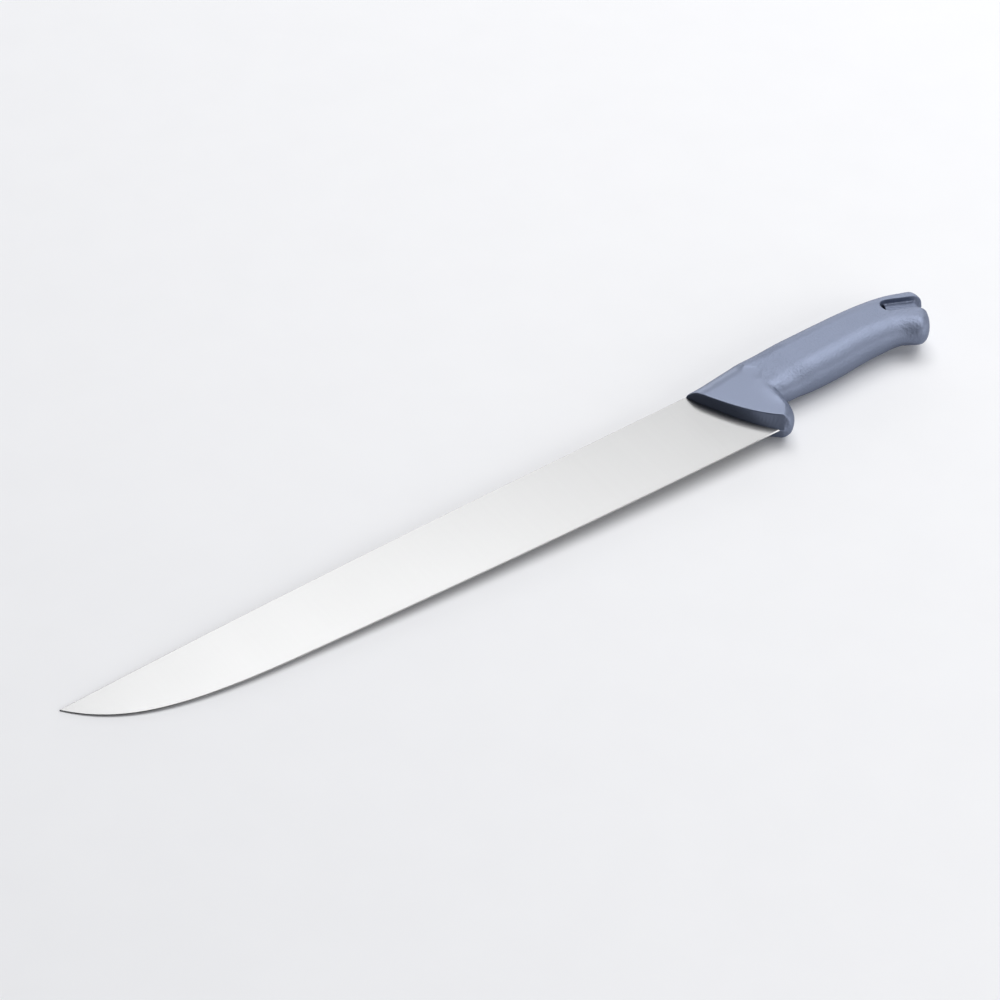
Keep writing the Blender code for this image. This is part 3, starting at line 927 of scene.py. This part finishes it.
# %% Moulded plastic
SKIN_SPECKLES = 1500.0
SKIN_CLOUDS = 70.0
PLASTIC_DARK = (0.016, 0.022, 0.038, 1.0)
PLASTIC_LIGHT = (0.020, 0.027, 0.046, 1.0)
PLASTIC_SMOOTHEST, PLASTIC_ROUGHEST = 0.38, 0.46
EXTRA_ON_GRAIN = 0.06
SKIN_DEPTH = 0.14 * MM
BUMP_ON_FACET, BUMP_ON_GRAIN = 0.03, 0.9
PLASTIC_IOR = 2.1
BLUE_SHEEN = (0.66, 0.75, 1.0, 1.0)


def moulded_plastic():
    """Dark blue plastic with a fine skin that is rougher where the mask says grain."""
    plastic, shader, place = new_finish("moulded_plastic")
    grained = add(plastic, "Attribute", attribute_name="grain").outputs["Fac"]
    speckle = clouds(plastic, place, SKIN_SPECKLES, 3.0, 0.6)
    slow = clouds(plastic, place, SKIN_CLOUDS, 4.0, 0.55)
    share = ramp(plastic, slow, NOISE_LOW, NOISE_HIGH, 0.0, 1.0)
    join(plastic, mix(plastic, share, PLASTIC_DARK, PLASTIC_LIGHT), shader, "Base Color")
    dull = ramp(plastic, speckle, NOISE_LOW, NOISE_HIGH, PLASTIC_SMOOTHEST, PLASTIC_ROUGHEST)
    extra = ramp(plastic, grained, 0.0, 1.0, 0.0, EXTRA_ON_GRAIN)
    join(plastic, plus(plastic, dull, extra), shader, "Roughness")
    strength = ramp(plastic, grained, 0.0, 1.0, BUMP_ON_FACET, BUMP_ON_GRAIN)
    bump = add(plastic, "Bump", {"Height": speckle, "Strength": strength, "Distance": SKIN_DEPTH})
    join(plastic, bump.outputs[0], shader, "Normal")
    shader.inputs["IOR"].default_value = PLASTIC_IOR
    shader.inputs["Specular IOR Level"].default_value = 1.0
    shader.inputs["Specular Tint"].default_value = BLUE_SHEEN
    return plastic


handle.data.materials.clear()
handle.data.materials.append(moulded_plastic())
print("plastic finish has", len(handle.data.materials[0].node_tree.nodes), "nodes")

# %% [markdown]
# ## Into the frame
#
# Both pieces were drawn from the datum. Their points are moved once, so that each object stays at
# the origin, and then each piece stands for its solid and rides on the knife's one body.

# %% Into the frame
pieces = ((blade, "blade", "blade_steel"), (handle, "handle", "handle_plastic"))
for piece, node, slot in pieces:
    piece.data.transform(Matrix.Translation(datum))
    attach(piece, "root")
    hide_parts(node)
    low, high = (Vector(corner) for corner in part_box(node))
    print(piece.name, "stands for", node, [round(1000 * value, 1) for value in high - low])

# %% [markdown]
# ## The table
#
# The knife lies on its side. It touches the table at the tip and under the grip, so seen from the
# knife the table falls by a little more than a degree towards the butt. The slope is found from the
# points of the handle: the table is the lowest line from the tip that still touches the grip.

# %% Table
TABLE_REACH = 6.0
BOARD_CLOUDS = 30.0
BOARD_DARK = (0.848, 0.851, 0.868, 1.0)
BOARD_LIGHT = (0.858, 0.861, 0.878, 1.0)


def resting_slope():
    """Slope along X of a line from under the tip that just touches the handle."""
    tip_point = Vector((blade_low.x, datum.z - TIP_THICKNESS / 4))
    places = [vert.co for vert in handle.data.vertices]
    slopes = [(place.z - tip_point.y) / (place.x - tip_point.x) for place in places]
    return min(slopes), tip_point


slope, tip_point = resting_slope()
bm = bmesh.new()
corners = []
for side_x, side_y in ((-1, -1), (1, -1), (1, 1), (-1, 1)):
    x, y = side_x * TABLE_REACH, side_y * TABLE_REACH
    corners.append(bm.verts.new((x, y, tip_point.y + slope * (x - tip_point.x))))
bm.faces.new(corners)
table = make_object("table", bm)
print("the table falls", round(math.degrees(math.atan(-slope)), 2), "degrees towards the butt")


def pale_table():
    """Matt white board with the faintest cool tone and grain."""
    board, shader, place = new_finish("pale_table")
    paper = clouds(board, place, BOARD_CLOUDS, 3.0, 0.5)
    share = ramp(board, paper, NOISE_LOW, NOISE_HIGH, 0.0, 1.0)
    join(board, mix(board, share, BOARD_DARK, BOARD_LIGHT), shader, "Base Color")
    shader.inputs["Roughness"].default_value = 0.9
    shader.inputs["Specular IOR Level"].default_value = 0.1
    return board


table.data.materials.append(pale_table())

# %% [markdown]
# ## Light
#
# The shadows say where the light is: they are soft, and they fall towards the viewer. A wide panel
# hangs high behind the knife and a second one to its right, which draws the bright band along the
# grip. Two long, low panels light the rims and make the shadows longer, and a dim one near the
# viewer lifts them. Each row gives how far a panel is turned from straight behind the knife, how
# high it stands, both in degrees, its two sizes in metres and how bright its surface is. All of them
# stand far off, so that the table is lit evenly.

# %% Light
PANEL_DISTANCE = 4.0
PANELS = [
    ("high_panel", -16.0, 58.5, 3.5, 2.2, 3.75),
    ("side_panel", -80.0, 57.0, 2.8, 2.2, 3.1),
    ("low_back_panel", -10.0, 11.0, 4.2, 1.5, 2.8),
    ("low_side_panel", -88.0, 11.0, 4.6, 1.5, 2.0),
    ("front_panel", -138.0, 22.0, 3.6, 2.4, 1.6),
]
ROOM_COLOR = (0.93, 0.95, 1.0, 1.0)
ROOM_BRIGHTNESS = 0.14


def panel(name, turn, height, width, depth, brightness):
    """A soft panel: turned from straight behind the knife, at an angle above the table."""
    behind = math.atan2(view_line.y, view_line.x) + math.radians(turn)
    rise = math.radians(height)
    level = math.cos(rise)
    offset = Vector((math.cos(behind) * level, math.sin(behind) * level, math.sin(rise)))
    data = bpy.data.lights.new(name, "AREA")
    data.shape = "RECTANGLE"
    data.size = width
    data.size_y = depth
    data.energy = brightness * math.pi * width * depth
    lamp = bpy.data.objects.new(name, data)
    bpy.context.scene.collection.objects.link(lamp)
    lamp.location = offset * PANEL_DISTANCE
    lamp.rotation_euler = (-offset).to_track_quat("-Z", "Y").to_euler()


for row in PANELS:
    panel(*row)

world = bpy.data.worlds.new("studio")
bpy.context.scene.world = world
world.use_nodes = True
room = world.node_tree.nodes["Background"]
room.inputs["Color"].default_value = ROOM_COLOR
room.inputs["Strength"].default_value = ROOM_BRIGHTNESS
bpy.context.scene.view_settings.view_transform = "Standard"
print(len(PANELS), "panels and a dim room light")
